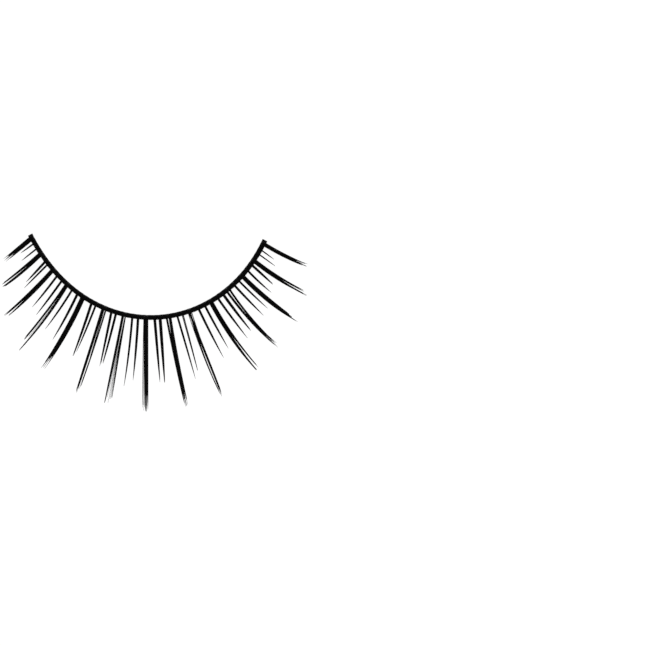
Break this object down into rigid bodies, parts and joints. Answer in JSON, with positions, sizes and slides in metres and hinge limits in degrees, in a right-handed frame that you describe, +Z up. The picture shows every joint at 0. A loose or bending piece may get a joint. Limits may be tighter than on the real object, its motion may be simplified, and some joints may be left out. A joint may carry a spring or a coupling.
{
  "type": "false eyelash strip",
  "caption": "Black false eyelash strip: long tapered spiky clusters with short fine lashes between them, curling up from a thin curved band.",
  "frame": {"origin": "on the band's flat underside, in the middle of its width, at the bottom of its bend", "axes": "+X runs along the strip from its left end to its right end, +Y points from the bend towards the eyelid side, +Z is up, the way the lashes curl"},
  "size_m": [0.0336, 0.0196, 0.0047],
  "materials": {
    "band": "satin black thread coated with dried glue",
    "spike": "semi-gloss black synthetic fibre bundle",
    "fine_lash": "semi-gloss black synthetic fibre"
  },
  "bodies": {
    "root": {"band": "band", "spike_01": "spike", "spike_02": "spike", "spike_03": "spike", "spike_04": "spike", "spike_05": "spike", "spike_06": "spike", "spike_07": "spike", "spike_08": "spike", "spike_09": "spike", "spike_10": "spike", "spike_11": "spike", "spike_12": "spike", "spike_13": "spike", "spike_14": "spike", "spike_15": "spike", "fine_lash_01": "fine_lash", "fine_lash_02": "fine_lash", "fine_lash_03": "fine_lash", "fine_lash_04": "fine_lash", "fine_lash_05": "fine_lash", "fine_lash_06": "fine_lash", "fine_lash_07": "fine_lash", "fine_lash_08": "fine_lash", "fine_lash_09": "fine_lash", "fine_lash_10": "fine_lash", "fine_lash_11": "fine_lash", "fine_lash_12": "fine_lash", "fine_lash_13": "fine_lash", "fine_lash_14": "fine_lash", "fine_lash_15": "fine_lash", "fine_lash_16": "fine_lash", "fine_lash_17": "fine_lash", "fine_lash_18": "fine_lash", "fine_lash_19": "fine_lash", "fine_lash_20": "fine_lash", "fine_lash_21": "fine_lash", "fine_lash_22": "fine_lash", "fine_lash_23": "fine_lash", "fine_lash_24": "fine_lash", "fine_lash_25": "fine_lash", "fine_lash_26": "fine_lash", "fine_lash_27": "fine_lash", "fine_lash_28": "fine_lash"}
  },
  "joints": []
}
